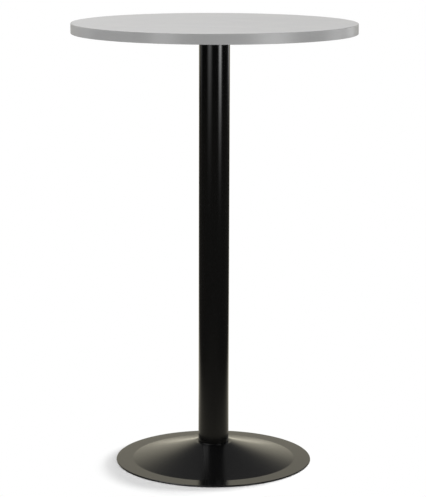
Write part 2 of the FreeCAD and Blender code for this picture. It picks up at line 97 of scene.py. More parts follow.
class TopSettings(bpy.types.PropertyGroup):
    """Looks and small sizes of the top"""

    laminate: colour("Laminate", "Colour of the laminate on the top", (0.5, 0.503, 0.518))
    band: colour("Edge band", "Colour of the plastic edge band", (0.45, 0.45, 0.45))
    backing: colour("Backing", "Colour of the sheet under the top", (0.36, 0.355, 0.34))
    roughness: share("Roughness", "Roughness of the laminate", 0.42)
    band_roughness: share("Band roughness", "Roughness of the edge band", 0.24)
    band_flake: share("Band flake", "Share of metal flake in the plastic of the edge band", 0.17)
    band_rounding: length("Band rounding", "Rounding of the band's two outer edges", 0.0012)
    joint: length("Joint", "Width of the glue line between laminate and band", 0.00012)
    ease: length("Eased edge", "Rounding of the laminate where it meets the band", 0.0002)


class ColumnSettings(bpy.types.PropertyGroup):
    """Looks and small sizes of the column"""

    coat: colour("Powder coat", "Colour of the powder coat", (0.0036, 0.0036, 0.0038))
    roughness: share("Roughness", "Roughness of the powder coat", 0.13)
    wall: length("Wall", "Thickness of the tube's wall", 0.002)
    end_chamfer: length("End chamfer", "Chamfer on the tube's cut ends", 0.0003)


class BaseSettings(bpy.types.PropertyGroup):
    """Looks and section of the base"""

    sheet: length("Sheet", "Thickness of the spun sheet", 0.002)
    flange_width: length("Flange width", "Width of the flange outside the crease", 0.042)
    crease_height: length("Crease height", "Height of the crease above the floor", 0.0044)
    crease_bend: length("Crease bend", "Bend radius of the crease", 0.016)
    rim_height: length("Rim height", "Height of the rim above the floor", 0.004)
    rim_bend: length("Rim bend", "Bend radius of the rim", 0.0023)
    seat_height: length("Seat height", "Height of the seat that the column stands on", 0.047)
    seat_margin: length("Seat margin", "Width of the seat outside the column", 0.0076)
    seat_bend: length("Seat bend", "Bend radius between the seat and the trumpet", 0.004)
    rod_gap: length("Rod gap", "Gap between the tie rod and its hole in the shell", 0.0005)
    rib_gap: length("Rib gap", "Gap between the column and the rib that locates it", 0.0006)
    rib_width: length("Rib width", "Width of the rib", 0.0022)
    rib_height: length("Rib height", "Height of the rib above the seat", 0.001)
    rib_rounding: length("Rib rounding", "Rounding of the rib", 0.0009)
    sag: length("Trumpet sag", "How far the trumpet dips below a straight cone", 0.0035)
    blend: share("Trumpet blend", "Share of each run that the trumpet's long bend takes up", 0.9)
    roughness: share("Roughness", "Roughness of the powder coat on the shell", 0.18)
    casting: colour("Casting", "Colour of the paint on the ballast", (0.022, 0.022, 0.023))


class HardwareSettings(bpy.types.PropertyGroup):
    """Looks and threads of the spider, rod, screws and feet"""

    zinc: colour("Zinc", "Colour of the zinc plate", (0.56, 0.56, 0.57))
    spider: colour("Spider paint", "Colour of the paint on the spider", (0.012, 0.012, 0.012))
    nylon: colour("Nylon", "Colour of the foot pads", (0.02, 0.02, 0.02))
    rod_pitch: length("Rod pitch", "Thread pitch of the tie rod", 0.00175)
    rod_thread: length("Rod thread", "Length of the thread at each end of the tie rod", 0.03)
    rod_chamfer: length("Rod chamfer", "Chamfer on the ends of the tie rod", 0.001)
    screw_head: length("Screw head", "Radius of the screw heads", 0.0055)
    head_height: length("Head height", "Height of the screw heads", 0.0034)
    head_rounding: length("Head rounding", "Rounding of the screw heads", 0.0022)
    screw_radius: length("Screw radius", "Radius of the screws over the thread", 0.0025)
    screw_pitch: length("Screw pitch", "Thread pitch of the screws", 0.0022)
    screw_depth: length("Screw thread", "Depth of the screws' thread", 0.0007)
    screw_neck: length("Screw neck", "Plain length under each screw head", 0.003)
    screw_point: length("Screw point", "Length of the screws' points", 0.004)
    screw_spacing: length("Screw spacing", "Distance between the two screws of an arm", 0.087)
    recess_depth: length("Recess depth", "Depth of the cross recess", 0.0019)
    recess_span: length("Recess span", "Length of the cross recess at the face of the head", 0.0046)
    recess_slot: length("Recess slot", "Width of each slot of the cross recess", 0.00095)
    recess_taper: share("Recess taper", "Size of the recess at its floor, as a share of its mouth", 0.62)
    stud_pitch: length("Stud pitch", "Thread pitch of the foot studs", 0.00125)
    stud_radius: length("Stud radius", "Radius of the foot studs over the thread", 0.004)
    stud_neck: length("Stud neck", "Radius of the foot studs in the pad's hole", 0.0029)
    stud_collar: length("Stud collar", "Radius of the collar that the pad holds", 0.0055)
    collar_height: length("Collar height", "Height of the collar", 0.0012)
    hexagon_foot: length("Hexagon foot", "Height of the hexagon's lower face above the floor", 0.0044)
    hexagon_top: length("Hexagon top", "Height of the hexagon's upper face above the floor", 0.0074)
    weld_radius: length("Weld", "Radius of the weld beads on the spider", 0.0016)


class StudioSettings(bpy.types.PropertyGroup):
    """Camera, floor and surrounding light"""

    camera_distance: length("Camera distance", "Distance from the camera to the column", 4.825)
    camera_height: length("Camera height", "Height of the camera above the floor", 1.4474)
    camera_side: length("Camera side step", "How far the camera stands left of the column", 0.0024)
    camera_pitch: angle("Camera pitch", "Downward tilt of the camera", 0.1857)
    camera_roll: angle("Camera roll", "Roll of the camera", 0.0026)
    focal_length: number("Focal length", "Focal length in millimetres", 143.16, min=1.0)
    floor_colour: colour("Floor", "Colour of the floor in the light that it throws back", (0.48, 0.48, 0.48))
    floor_seen: colour("Floor as seen", "Colour of the floor as the camera sees it", (0.7, 0.7, 0.7))
    glow_left: length("Glow left", "How far left of the column the shaded patch of floor is centred", 0.01)
    glow_front: length("Glow front", "How far in front of the column that patch is centred", 0.05)
    glow_start: length("Glow start", "Distance from that centre where the floor starts to turn white", 0.235)
    glow_end: length("Glow end", "Distance from that centre where the floor is white", 0.295)
    paper_left: length("Paper left", "How far the lit paper reaches to the left in gloss", 1.15)
    paper_right: length("Paper right", "How far the lit paper reaches to the right in gloss", 1.1)
    paper_back: length("Paper back", "Distance behind the column where the paper is brightest in gloss", 0.6)
    paper_fall: length("Paper fall", "Distance over which the paper darkens forwards in gloss", 0.5)
    paper_level: number("Paper level", "Brightness in gloss of the paper behind the table", 1.7)
    ambient: number("Ambient", "Strength of the even light from all round", 0.5)
    reflected: colour("Backdrop in gloss", "Backdrop that glossy surfaces show", (0.7, 0.66, 0.54))


# ---- mesh helpers -------------------------------------------------------------------------

def extent(node):
    """(radius, low, high) of a round node that stands on the column's axis."""
    low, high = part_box(node)
    return min(-low[0], high[0]), low[2], high[2]


def bend(before, corner, after, steps):
    """Points of the arc that rounds a corner (r, z, radius)."""
    into = Vector((corner[0] - before[0], corner[1] - before[1])).normalized()
    out = Vector((after[0] - corner[0], after[1] - corner[1])).normalized()
    turn = math.atan2(into.x * out.y - into.y * out.x, into.dot(out))
    start = Vector(corner[:2]) - into * corner[2] * math.tan(abs(turn) / 2)
    side = Vector((-into.y, into.x)) * math.copysign(corner[2], turn)
    centre = start + side
    turns = [Matrix.Rotation(turn * k / steps, 2) for k in range(steps + 1)]
    return [tuple(centre + part @ (start - centre)) for part in turns]


def outline(corners, closed, steps=8):
    """Points along straight runs joined by arcs, through corners (r, z, radius)."""
    points = []
    last = len(corners) - 1
    for index, corner in enumerate(corners):
        if corner[2] > 0 and (closed or 0 < index < last):
            after = corners[(index + 1) % len(corners)]
            points += bend(corners[index - 1], corner, after, steps)
        else:
            points.append(tuple(corner[:2]))
    return supported(points, closed)


def supported(points, closed, margin=0.0002):
    """The same points, with two more near the ends of each long run that keep its shading straight."""
    held = []
    for index, here in enumerate(points):
        held.append(here)
        if index == len(points) - 1 and not closed:
            break
        after = points[(index + 1) % len(points)]
        run = Vector(after) - Vector(here)
        if run.length > 6 * margin:
            step = run.normalized() * margin
            held += [tuple(Vector(here) + step), tuple(Vector(after) - step)]
    return held


def parallel(corners, distance):
    """The open path that runs a distance to the right of another, with its bends adjusted."""
    moved = []
    last = len(corners) - 1
    for index, corner in enumerate(corners):
        here = Vector(corner[:2])
        into = (here - Vector(corners[max(index, 1) - 1][:2])).normalized()
        out = (Vector(corners[min(index, last - 1) + 1][:2]) - here).normalized()
        if index == 0:
            into = out
        if index == last:
            out = into
        turn = math.atan2(into.x * out.y - into.y * out.x, into.dot(out))
        right = Vector((into.y, -into.x))
        place = here + right * distance + into * distance * math.tan(turn / 2)
        moved.append((place.x, place.y, corner[2] + math.copysign(distance, turn) if corner[2] else 0.0))
    return moved


def finished(name, bm, material, body=BODY, sharp=35.0):
    """A piece made from a bmesh: smooth apart from its sharp edges, dressed, and riding on a body."""
    bmesh.ops.recalc_face_normals(bm, faces=bm.faces)
    mesh = bpy.data.meshes.new(name)
    bm.to_mesh(mesh)
    bm.free()
    mesh.shade_smooth()
    mesh.set_sharp_from_angle(angle=math.radians(sharp))
    mesh.materials.append(material)
    piece = bpy.data.objects.new(name, mesh)
    bpy.context.scene.collection.objects.link(piece)
    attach(piece, body)
    return piece


def lathe(points, segments=256, closed=True, centre=(0.0, 0.0), relief=None):
    """A bmesh turned about an upright axis from points (r, z). relief(angle, r, z) gives another radius."""
    bm = bmesh.new()
    rings = []
    for r, z in points:
        if r < ON_AXIS:
            rings.append([bm.verts.new((centre[0], centre[1], z))])
            continue
        ring = []
        for k in range(segments):
            angle = 2 * math.pi * k / segments
            reach = relief(angle, r, z) if relief else r
            place = (centre[0] + reach * math.cos(angle), centre[1] + reach * math.sin(angle), z)
            ring.append(bm.verts.new(place))
        rings.append(ring)
    pairs = list(zip(rings, rings[1:]))
    if closed:
        pairs.append((rings[-1], rings[0]))
    for inner, outer in pairs:
        for k in range(segments):
            after = (k + 1) % segments
            corners = [inner[k % len(inner)], inner[after % len(inner)],
                       outer[after % len(outer)], outer[k % len(outer)]]
            unique = list(dict.fromkeys(corners))
            if len(unique) > 2:
                bm.faces.new(unique)
    return bm


def along(low, high, step):
    """Evenly spaced heights from low to high, no further apart than a step."""
    count = max(1, math.ceil((high - low) / step))
    return [low + (high - low) * k / count for k in range(count + 1)]


def thread(pitch, depth, spans):
    """A relief that cuts a right-hand V thread into the stated spans of height."""
    def reach(angle, r, z):
        for low, high in spans:
            if low <= z <= high:
                phase = (z / pitch - angle / (2 * math.pi)) % 1.0
                return r - depth * abs(2 * phase - 1)
        return r
    return reach


# ---- material helpers ---------------------------------------------------------------------

class Shading:
    """A node tree under construction."""

    def __init__(self, tree):
        self.tree = tree

    def feed(self, socket, value):
        """Sets an input, or links it where the value is another node's output. A colour needs no alpha."""
        if isinstance(value, bpy.types.NodeSocket):
            self.tree.links.new(value, socket)
        elif socket.type == "RGBA":
            socket.default_value = (*value, 1.0)
        else:
            socket.default_value = value

    def node(self, kind, inputs=(), **values):
        """A node with its properties and inputs set. Inputs whose names repeat come by number."""
        made = self.tree.nodes.new("ShaderNode" + kind)
        for key, value in values.items():
            if hasattr(made, key):
                setattr(made, key, value)
            else:
                self.feed(made.inputs[key.replace("_", " ")], value)
        for socket, value in dict(inputs).items():
            self.feed(made.inputs[socket], value)
        return made

    def first(self, kind, inputs=(), **values):
        """The first output of a new node."""
        return self.node(kind, inputs, **values).outputs[0]

    def calculate(self, operation, *operands):
        """The result of an operation on numbers and fields."""
        return self.first("Math", dict(enumerate(operands)), operation=operation)

    def spread(self, source, low, high, to_low=0.0, to_high=1.0):
        """A field stretched from one range to another and held at its ends."""
        return self.first("MapRange", Value=source,
                          From_Min=low, From_Max=high, To_Min=to_low, To_Max=to_high)

    def ease(self, source, low, high, top=1.0):
        """A field that eases from 0 where the source is low up to a top where it is high."""
        return self.first("MapRange", Value=source, interpolation_type="SMOOTHSTEP",
                          From_Min=low, From_Max=high, To_Max=top)

    def mix(self, factor, first, second):
        """A colour between two colours."""
        return self.node("Mix", {"Factor": factor, 6: first, 7: second}, data_type="RGBA").outputs[2]

    def pick(self, factor, first, second):
        """A surface between two surfaces."""
        return self.first("MixShader", {0: factor, 1: first, 2: second})


class Finish(Shading):
    """A material under construction: a Principled shader, and textures in the piece's own space."""

    def __init__(self, name, base, roughness, metallic=0.0, **inputs):
        self.material = bpy.data.materials.new(name)
        self.material.use_nodes = True
        super().__init__(self.material.node_tree)
        self.shader = self.tree.nodes["Principled BSDF"]
        inputs.update(Base_Color=base, Roughness=roughness, Metallic=metallic)
        for socket, value in inputs.items():
            self.feed(self.shader.inputs[socket.replace("_", " ")], value)
        self.base = base
        self.place = self.tree.nodes.new("ShaderNodeTexCoord").outputs["Object"]

    def stretched(self, scale):
        """The piece's own space, stretched along its axes."""
        return self.first("Mapping", Vector=self.place, Scale=scale)

    def noise(self, scale, detail=2.0, roughness=0.5, space=None):
        """A noise field between 0 and 1."""
        return self.first("TexNoise", Vector=space or self.place,
                          Scale=scale, Detail=detail, Roughness=roughness)

    def shade(self, gain):
        """The base colour made lighter or darker by a gain."""
        return tuple(min(1.0, channel * gain) for channel in self.base)

    def vary(self, field, low, high, dark, light):
        """The base colour, from a dark gain to a light one as a field runs from low to high."""
        return self.mix(self.spread(field, low, high), self.shade(dark), self.shade(light))

    def dress(self, colour=None, roughness=None, height=None, strength=1.0, distance=0.0001):
        """Links the finished fields to the shader."""
        if height is not None:
            height = self.first("Bump", Height=height, Strength=strength, Distance=distance)
        for socket, field in (("Base Color", colour), ("Roughness", roughness), ("Normal", height)):
            if field is not None:
                self.feed(self.shader.inputs[socket], field)
        return self.material


def shared(maker):
    """The material that a finish makes, made the first time that it is asked for."""
    if maker not in materials:
        materials[maker] = maker(f"{maker.__name__}_finish")
    return materials[maker]


def redress(node, material):
    """Gives a frame node a finished material."""
    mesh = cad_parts[node].data
    mesh.materials.clear()
    mesh.materials.append(material)


# ---- finishes -----------------------------------------------------------------------------

def laminate(name):
    """Pressed laminate: a fine pearl texture with a faint cloudiness."""
    look = bpy.context.scene.pub_top
    finish = Finish(name, look.laminate, look.roughness, Specular_IOR_Level=0.25)
    cloud = finish.noise(6.0, 4.0)
    grain = finish.noise(900.0, 2.0, 0.6)
    tone = finish.vary(cloud, 0.3, 0.7, 0.985, 1.015)
    tone = finish.mix(finish.spread(grain, 0.35, 0.65, 0.0, 0.25), tone, finish.shade(0.93))
    smear = finish.noise(14.0, 5.0, 0.6)
    gloss = finish.spread(smear, 0.3, 0.7, look.roughness - 0.04, look.roughness + 0.05)
    return finish.dress(tone, gloss, finish.noise(1400.0, 1.0), 0.25, 0.00006)


def edge_band(name):
    """Plastic band with a metal effect, and the faint chatter of the trimming cutter running up and down."""
    look = bpy.context.scene.pub_top
    finish = Finish(name, look.band, look.band_roughness, look.band_flake, Specular_IOR_Level=0.0)
    chatter = finish.noise(1.0, 1.0, 0.5, finish.stretched((420.0, 420.0, 6.0)))
    fine = finish.noise(1100.0, 2.0)
    tone = finish.vary(finish.noise(9.0, 3.0), 0.3, 0.7, 0.97, 1.03)
    gloss = finish.spread(chatter, 0.3, 0.7, look.band_roughness - 0.01, look.band_roughness + 0.01)
    return finish.dress(tone, gloss, finish.calculate("ADD", chatter, fine), 0.08, 0.00002)


def backing(name):
    """The dull balancing sheet under the board."""
    look = bpy.context.scene.pub_top
    finish = Finish(name, look.backing, 0.6)
    fibre = finish.noise(1.0, 3.0, 0.6, finish.stretched((60.0, 700.0, 700.0)))
    tone = finish.vary(fibre, 0.35, 0.65, 0.94, 1.05)
    gloss = finish.spread(finish.noise(30.0, 4.0), 0.3, 0.7, 0.52, 0.66)
    return finish.dress(tone, gloss, fibre, 0.2, 0.00005)


def chipboard(name):
    """Pressed chips, in three browns."""
    finish = Finish(name, (0.42, 0.29, 0.165), 0.85)
    space = finish.stretched((1.0, 1.0, 2.6))
    chips = finish.node("TexVoronoi", Vector=space, Scale=420.0).outputs["Color"]
    split = finish.node("SeparateColor", Color=chips)
    tone = finish.vary(split.outputs[0], 0.2, 0.8, 0.62, 1.18)
    tone = finish.mix(finish.spread(finish.noise(60.0, 4.0), 0.4, 0.6, 0.0, 0.5), tone, finish.base)
    return finish.dress(tone, None, split.outputs[1], 0.6, 0.0004)


def powder_coat(name, roughness=None):
    """Semi-gloss powder coat: an orange-peel surface, with specks of dust and slight rubbing."""
    look = bpy.context.scene.pub_column
    roughness = roughness or look.roughness
    finish = Finish(name, look.coat, roughness, IOR=1.5)
    peel = finish.noise(520.0, 2.0, 0.45)
    wave = finish.noise(160.0, 1.0)
    dust = finish.spread(finish.noise(1600.0, 1.0), 0.74, 0.8, 0.0, 0.3)
    tone = finish.mix(dust, look.coat, (0.03, 0.029, 0.027))
    rub = finish.spread(finish.noise(7.0, 6.0, 0.65), 0.35, 0.75, roughness - 0.01, roughness + 0.03)
    return finish.dress(tone, rub, finish.calculate("ADD", peel, wave), 0.05, 0.0002)


def spun_coat(name):
    """The same powder coat over spun sheet, a little duller."""
    return powder_coat(name, bpy.context.scene.pub_base.roughness)


def spider_paint(name):
    """Satin paint over pressed and welded steel."""
    finish = Finish(name, bpy.context.scene.pub_hardware.spider, 0.38)
    skin = finish.noise(260.0, 3.0, 0.55)
    tone = finish.vary(finish.noise(40.0, 4.0), 0.45, 0.75, 1.0, 2.2)
    gloss = finish.spread(finish.noise(25.0, 4.0), 0.3, 0.7, 0.3, 0.5)
    return finish.dress(tone, gloss, skin, 0.35, 0.0003)


def casting_paint(name):
    """Thin paint over sand-cast iron: a pitted skin, with rust showing in a few of the pits."""
    finish = Finish(name, bpy.context.scene.pub_base.casting, 0.62)
    sand = finish.noise(330.0, 5.0, 0.7)
    pits = finish.spread(finish.noise(120.0, 3.0), 0.66, 0.74)
    tone = finish.vary(sand, 0.4, 0.7, 0.75, 1.5)
    tone = finish.mix(pits, tone, (0.07, 0.032, 0.016))
    gloss = finish.spread(sand, 0.3, 0.7, 0.5, 0.78)
    return finish.dress(tone, gloss, sand, 0.7, 0.0008)


def zinc_plate(name):
    """Bright zinc over turned steel: rings from the lathe and a faintly blue and yellow bloom."""
    look = bpy.context.scene.pub_hardware
    finish = Finish(name, look.zinc, 0.32, metallic=1.0)
    rings = finish.noise(1.0, 2.0, 0.5, finish.stretched((90.0, 90.0, 2600.0)))
    bloom = finish.spread(finish.noise(45.0, 2.0), 0.35, 0.65)
    tone = finish.mix(bloom, (0.5, 0.53, 0.58), (0.6, 0.57, 0.49))
    gloss = finish.spread(rings, 0.3, 0.7, 0.24, 0.42)
    return finish.dress(tone, gloss, rings, 0.15, 0.00008)


def nylon(name):
    """Moulded nylon, lightly scuffed."""
    finish = Finish(name, bpy.context.scene.pub_hardware.nylon, 0.5)
    scuff = finish.spread(finish.noise(1.0, 5.0, 0.7, finish.stretched((160.0, 480.0, 160.0))), 0.5, 0.72)
    tone = finish.mix(scuff, finish.base, (0.075, 0.073, 0.068))
    gloss = finish.spread(scuff, 0.0, 1.0, 0.44, 0.68)
    return finish.dress(tone, gloss, finish.noise(800.0, 2.0), 0.3, 0.0001)


# ---- operators ----------------------------------------------------------------------------

class MakeTop(bpy.types.Operator):
    """Make the laminate and the edge band, and finish the board"""

    bl_idname = "pubtable.make_top"
    bl_label = "Make the top"
    SIDES = 360

    def execute(self, context):
        look = context.scene.pub_top
        radius, low, high = extent("edge_band")
        inner, sheet_low, _ = extent("top_laminate")
        edge = inner - look.joint
        rounding = look.band_rounding
        band = [(inner, low, 0), (radius, low, rounding), (radius, high, rounding), (inner, high, look.ease)]
        sheet = [(0, sheet_low, 0), (edge, sheet_low, 0), (edge, high, look.ease), (0, high, 0)]
        turned = lathe(outline(band, closed=True), self.SIDES)
        made = finished("edge_band_trimmed", turned, shared(edge_band))
        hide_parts("edge_band")
        turned = lathe(outline(sheet, closed=False), self.SIDES, closed=False)
        made = finished("top_laminate_pressed", turned, shared(laminate))
        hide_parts("top_laminate")
        redress("top_core", shared(chipboard))
        redress("underside_laminate", shared(backing))
        return {"FINISHED"}


class MakeSpider(bpy.types.Operator):
    """Finish the hub and arms, and lay the weld beads where they meet"""

    bl_idname = "pubtable.make_spider"
    bl_label = "Make the spider"
    SIDES = 10
    BEAD_STEP = 0.2  # distance between the rings of a bead, as a share of its radius
    END_GIRTH = 0.35  # girth of a bead's end rings, as a share of its full girth
    END_SWELL = 0.3  # how much of it each ring adds, until the bead is full
    RIPPLE = 0.13  # height of the ripples, as a share of the radius
    RIPPLE_TURN = 1.6  # phase of the ripples from ring to ring, in radians

    def execute(self, context):
        look = context.scene.pub_hardware
        paint = shared(spider_paint)
        for arm in ARMS:
            redress(f"spider_arm_{arm}", paint)
        redress("spider_hub", paint)
        for index, arm in enumerate(ARMS):
            finished(f"weld_{arm}", self.weld(look.weld_radius, index), paint)
        return {"FINISHED"}

    def weld(self, radius, index):
        """A bmesh with the two upright beads of one arm, rippled as the puddle froze."""
        low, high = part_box("spider_arm_right")
        turn = Matrix.Rotation(math.tau * index / len(ARMS), 3, "Z")
        heights = along(low[2] + radius, high[2] - 2 * radius, radius * self.BEAD_STEP)
        middle = low[0] + radius / 2
        bm = bmesh.new()
        for side in (-1, 1):
            rings = []
            for k, z in enumerate(heights):
                end = min(k, len(heights) - 1 - k)
                taper = min(1.0, self.END_GIRTH + self.END_SWELL * end)
                girth = radius * taper * (1 + self.RIPPLE * math.cos(k * self.RIPPLE_TURN))
                ring = []
                for step in range(self.SIDES):
                    angle = math.tau * step / self.SIDES
                    place = (middle + girth * math.cos(angle), side * high[1] + girth * math.sin(angle), z)
                    ring.append(bm.verts.new(turn @ Vector(place)))
                rings.append(ring)
            for lower, upper in zip(rings, rings[1:]):
                for k in range(self.SIDES):
                    after = (k + 1) % self.SIDES
                    bm.faces.new((lower[k], lower[after], upper[after], upper[k]))
            bm.faces.new(rings[0])
            bm.faces.new(rings[-1])
        return bm


class MakeColumn(bpy.types.Operator):
    """Make the coated tube of the column"""

    bl_idname = "pubtable.make_column"
    bl_label = "Make the column"
    SIDES = 256

    def execute(self, context):
        look = context.scene.pub_column
        radius, low, high = extent("column_tube")
        bore = radius - look.wall
        cut = look.end_chamfer
        foot = [(bore, low, 0), (radius - cut, low, 0), (radius, low + cut, 0)]
        head = [(radius, high - cut, 0), (radius - cut, high, 0), (bore, high, 0)]
        tube = lathe(outline(foot + head, closed=True), self.SIDES)
        made = finished("column_tube_coated", tube, shared(powder_coat))
        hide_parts("column_tube")
        redress("column_foot_cup", shared(zinc_plate))
        return {"FINISHED"}


class MakeBase(bpy.types.Operator):
    """Make the spun shell, and finish the ballast under it"""

    bl_idname = "pubtable.make_base"
    bl_label = "Make the base"
    SIDES = 384
    BEND_STEPS = 14

    def execute(self, context):
        shell = lathe(self.shell_outline(context.scene.pub_base), self.SIDES)
        made = finished("base_shell_spun", shell, shared(spun_coat))
        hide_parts("base_shell")
        redress("ballast_casting", shared(casting_paint))
        return {"FINISHED"}

    def shell_outline(self, look):
        """The closed section of the shell: its upper face outwards, and its lower face back."""
        rim, lip, _ = extent("base_shell")
        column, _, _ = extent("column_tube")
        rod, _, _ = extent("tie_rod")
        seat = look.seat_height
        shoulder = (column + look.seat_margin, seat, look.seat_bend)
        crease = (rim - look.flange_width, look.crease_height, look.crease_bend)
        dip = ((shoulder[0] + crease[0]) / 2, (shoulder[1] + crease[1]) / 2 - look.sag)
        into = Vector((dip[0] - shoulder[0], dip[1] - shoulder[1]))
        out = Vector((crease[0] - dip[0], crease[1] - dip[1]))
        turn = abs(into.angle(out))
        hole = (rod + look.rod_gap, seat, 0)
        trumpet = [
            shoulder,
            (*dip, look.blend * out.length / math.tan(turn / 2)),
            crease,
            (rim, look.rim_height, look.rim_bend),
            (rim, lip, 0),
        ]
        inner = column + look.rib_gap
        outer = inner + look.rib_width
        top = seat + look.rib_height
        rounding = look.rib_rounding
        rib = [(inner, seat, 0), (inner, top, rounding), (outer, top, rounding), (outer, seat, 0)]
        above = outline([hole, *rib, *trumpet], closed=False, steps=self.BEND_STEPS)
        below = outline(parallel([hole, *trumpet], look.sheet), closed=False, steps=self.BEND_STEPS)
        return above + below[::-1]


class MakeHardware(bpy.types.Operator):
    """Cut the threads of the tie rod, drive the screws, and finish the nuts and washers"""

    bl_idname = "pubtable.make_hardware"
    bl_label = "Make the hardware"
    ROD_SIDES = 40
    SCREW_SIDES = 32
    SCREW_STEPS = 6  # points along one pitch of a screw's thread

    def execute(self, context):
        look = context.scene.pub_hardware
        zinc = shared(zinc_plate)
        for node in ("head_washer", "head_nut", "foot_washer", "lock_washer", "foot_nut"):
            redress(f"tie_rod_{node}", zinc)
        self.make_rod(look, zinc)
        self.make_screws(look, zinc)
        return {"FINISHED"}

    def make_rod(self, look, zinc):
        """The tie rod, threaded at both ends."""
        radius, low, high = extent("tie_rod")
        cut = look.rod_chamfer
        spans = [(low + cut, low + look.rod_thread), (high - look.rod_thread, high - cut)]
        walls = [(radius, z) for span in spans for z in along(*span, look.rod_pitch / THREAD_STEPS)]
        points = [(0, low), (radius - cut, low), *walls, (radius - cut, high), (0, high)]
        groove = thread(look.rod_pitch, THREAD_DEPTH * look.rod_pitch, spans)
        rod = lathe(points, self.ROD_SIDES, closed=False, relief=groove)
        made = finished("tie_rod_threaded", rod, zinc, sharp=60.0)
        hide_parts("tie_rod")

    def make_screws(self, look, zinc):
        """The screws that hold the spider: pan heads with a cross recess, and wood threads."""
        (_, _, low), (reach, _, high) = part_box("top_screws")
        head, radius = look.screw_head, look.screw_radius
        seat, tip = low + look.head_height, high - look.screw_point
        outer = reach - head
        step = look.screw_pitch / self.SCREW_STEPS
        groove = thread(look.screw_pitch, look.screw_depth, [(seat + look.screw_neck, high)])
        corners = [(0, low, 0), (head, low, look.head_rounding), (head, seat, 0), (radius, seat, 0)]
        points = outline(corners, closed=False)
        points += [(radius, z) for z in along(seat, tip, step)[1:]]
        points += [(radius * (high - z) / (high - tip), z) for z in along(tip, high, step)[1:]]
        for index, arm in enumerate(ARMS):
            turn = Matrix.Rotation(math.tau * index / len(ARMS), 2)
            for which, distance in enumerate((outer - look.screw_spacing, outer), start=1):
                x, y = turn @ Vector((distance, 0.0))
                screw = lathe(points, self.SCREW_SIDES, closed=False, centre=(x, y), relief=groove)
                made = finished(f"top_screw_{arm}_{which}", screw, zinc, sharp=50.0)
                self.recess(look, made, x, y, low)
                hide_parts("top_screws")

    def recess(self, look, screw, x, y, low):
        """Cuts a cross recess into a screw head."""
        bm = bmesh.new()
        for across, deep in ((look.recess_span, look.recess_slot), (look.recess_slot, look.recess_span)):
            for vert in bmesh.ops.create_cube(bm, size=1.0)["verts"]:
                taper = 1.0 if vert.co.z < 0 else look.recess_taper
                vert.co.x = x + vert.co.x * across * taper
                vert.co.y = y + vert.co.y * deep * taper
                vert.co.z = low + 2 * vert.co.z * look.recess_depth
        mesh = bpy.data.meshes.new("recess")
        bm.to_mesh(mesh)
        bm.free()
        cutter = bpy.data.objects.new("recess", mesh)
        bpy.context.scene.collection.objects.link(cutter)
        cut = screw.modifiers.new("recess", "BOOLEAN")
        cut.object = cutter
        cut.operation = "DIFFERENCE"
        cut.solver = "EXACT"
        cut.use_self = True
        bpy.context.view_layer.update()
        depsgraph = bpy.context.evaluated_depsgraph_get()
        carved = bpy.data.meshes.new_from_object(screw.evaluated_get(depsgraph))
        screw.modifiers.clear()
        screw.data = carved
        bpy.data.objects.remove(cutter)


class MakeFeet(bpy.types.Operator):
    """Thread the studs of the levelling feet and finish their pads"""

    bl_idname = "pubtable.make_feet"
    bl_label = "Make the feet"
    SIDES = 48

    def execute(self, context):
        for foot in FEET:
            redress(f"foot_pad_{foot}", shared(nylon))
            self.make_stud(context.scene.pub_hardware, foot)
        return {"FINISHED"}

    def make_stud(self, look, foot):
        """One stud: the collar and neck that the pad holds, the hexagon, and the threaded end."""
        low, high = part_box(f"foot_stud_{foot}")
        corner, flat = (high[0] - low[0]) / 2, (high[1] - low[1]) / 2
        centre = ((low[0] + high[0]) / 2, (low[1] + high[1]) / 2)
        radius = look.stud_radius
        depth = THREAD_DEPTH * look.stud_pitch
        thread_low, thread_high = look.hexagon_top + depth, high[2] - depth
        cut = thread(look.stud_pitch, depth, [(thread_low, thread_high)])

        def reach(angle, r, z):
            if r == corner:
                return flat / math.cos(angle % math.radians(60) - math.radians(30))
            return cut(angle, r, z)

        collar_top = low[2] + look.collar_height
        chamfer = (corner - flat) * math.tan(math.radians(30))
        points = [
            (0, low[2]),
            (look.stud_collar, low[2]),
            (look.stud_collar, collar_top),
            (look.stud_neck, collar_top),
            (look.stud_neck, look.hexagon_foot),
            (flat, look.hexagon_foot),
            (corner, look.hexagon_foot + chamfer),
            (corner, look.hexagon_top - chamfer),
            (flat, look.hexagon_top),
            (radius, look.hexagon_top),
        ]
        points += [(radius, z) for z in along(thread_low, thread_high, look.stud_pitch / THREAD_STEPS)]
        points += [(radius - depth, high[2]), (0, high[2])]
        stud = lathe(points, self.SIDES, closed=False, centre=centre, relief=reach)
        name, zinc = f"foot_stud_{foot}_threaded", shared(zinc_plate)
        made = finished(name, stud, zinc, body=f"stud_{foot}", sharp=50.0)
        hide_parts(f"foot_stud_{foot}")


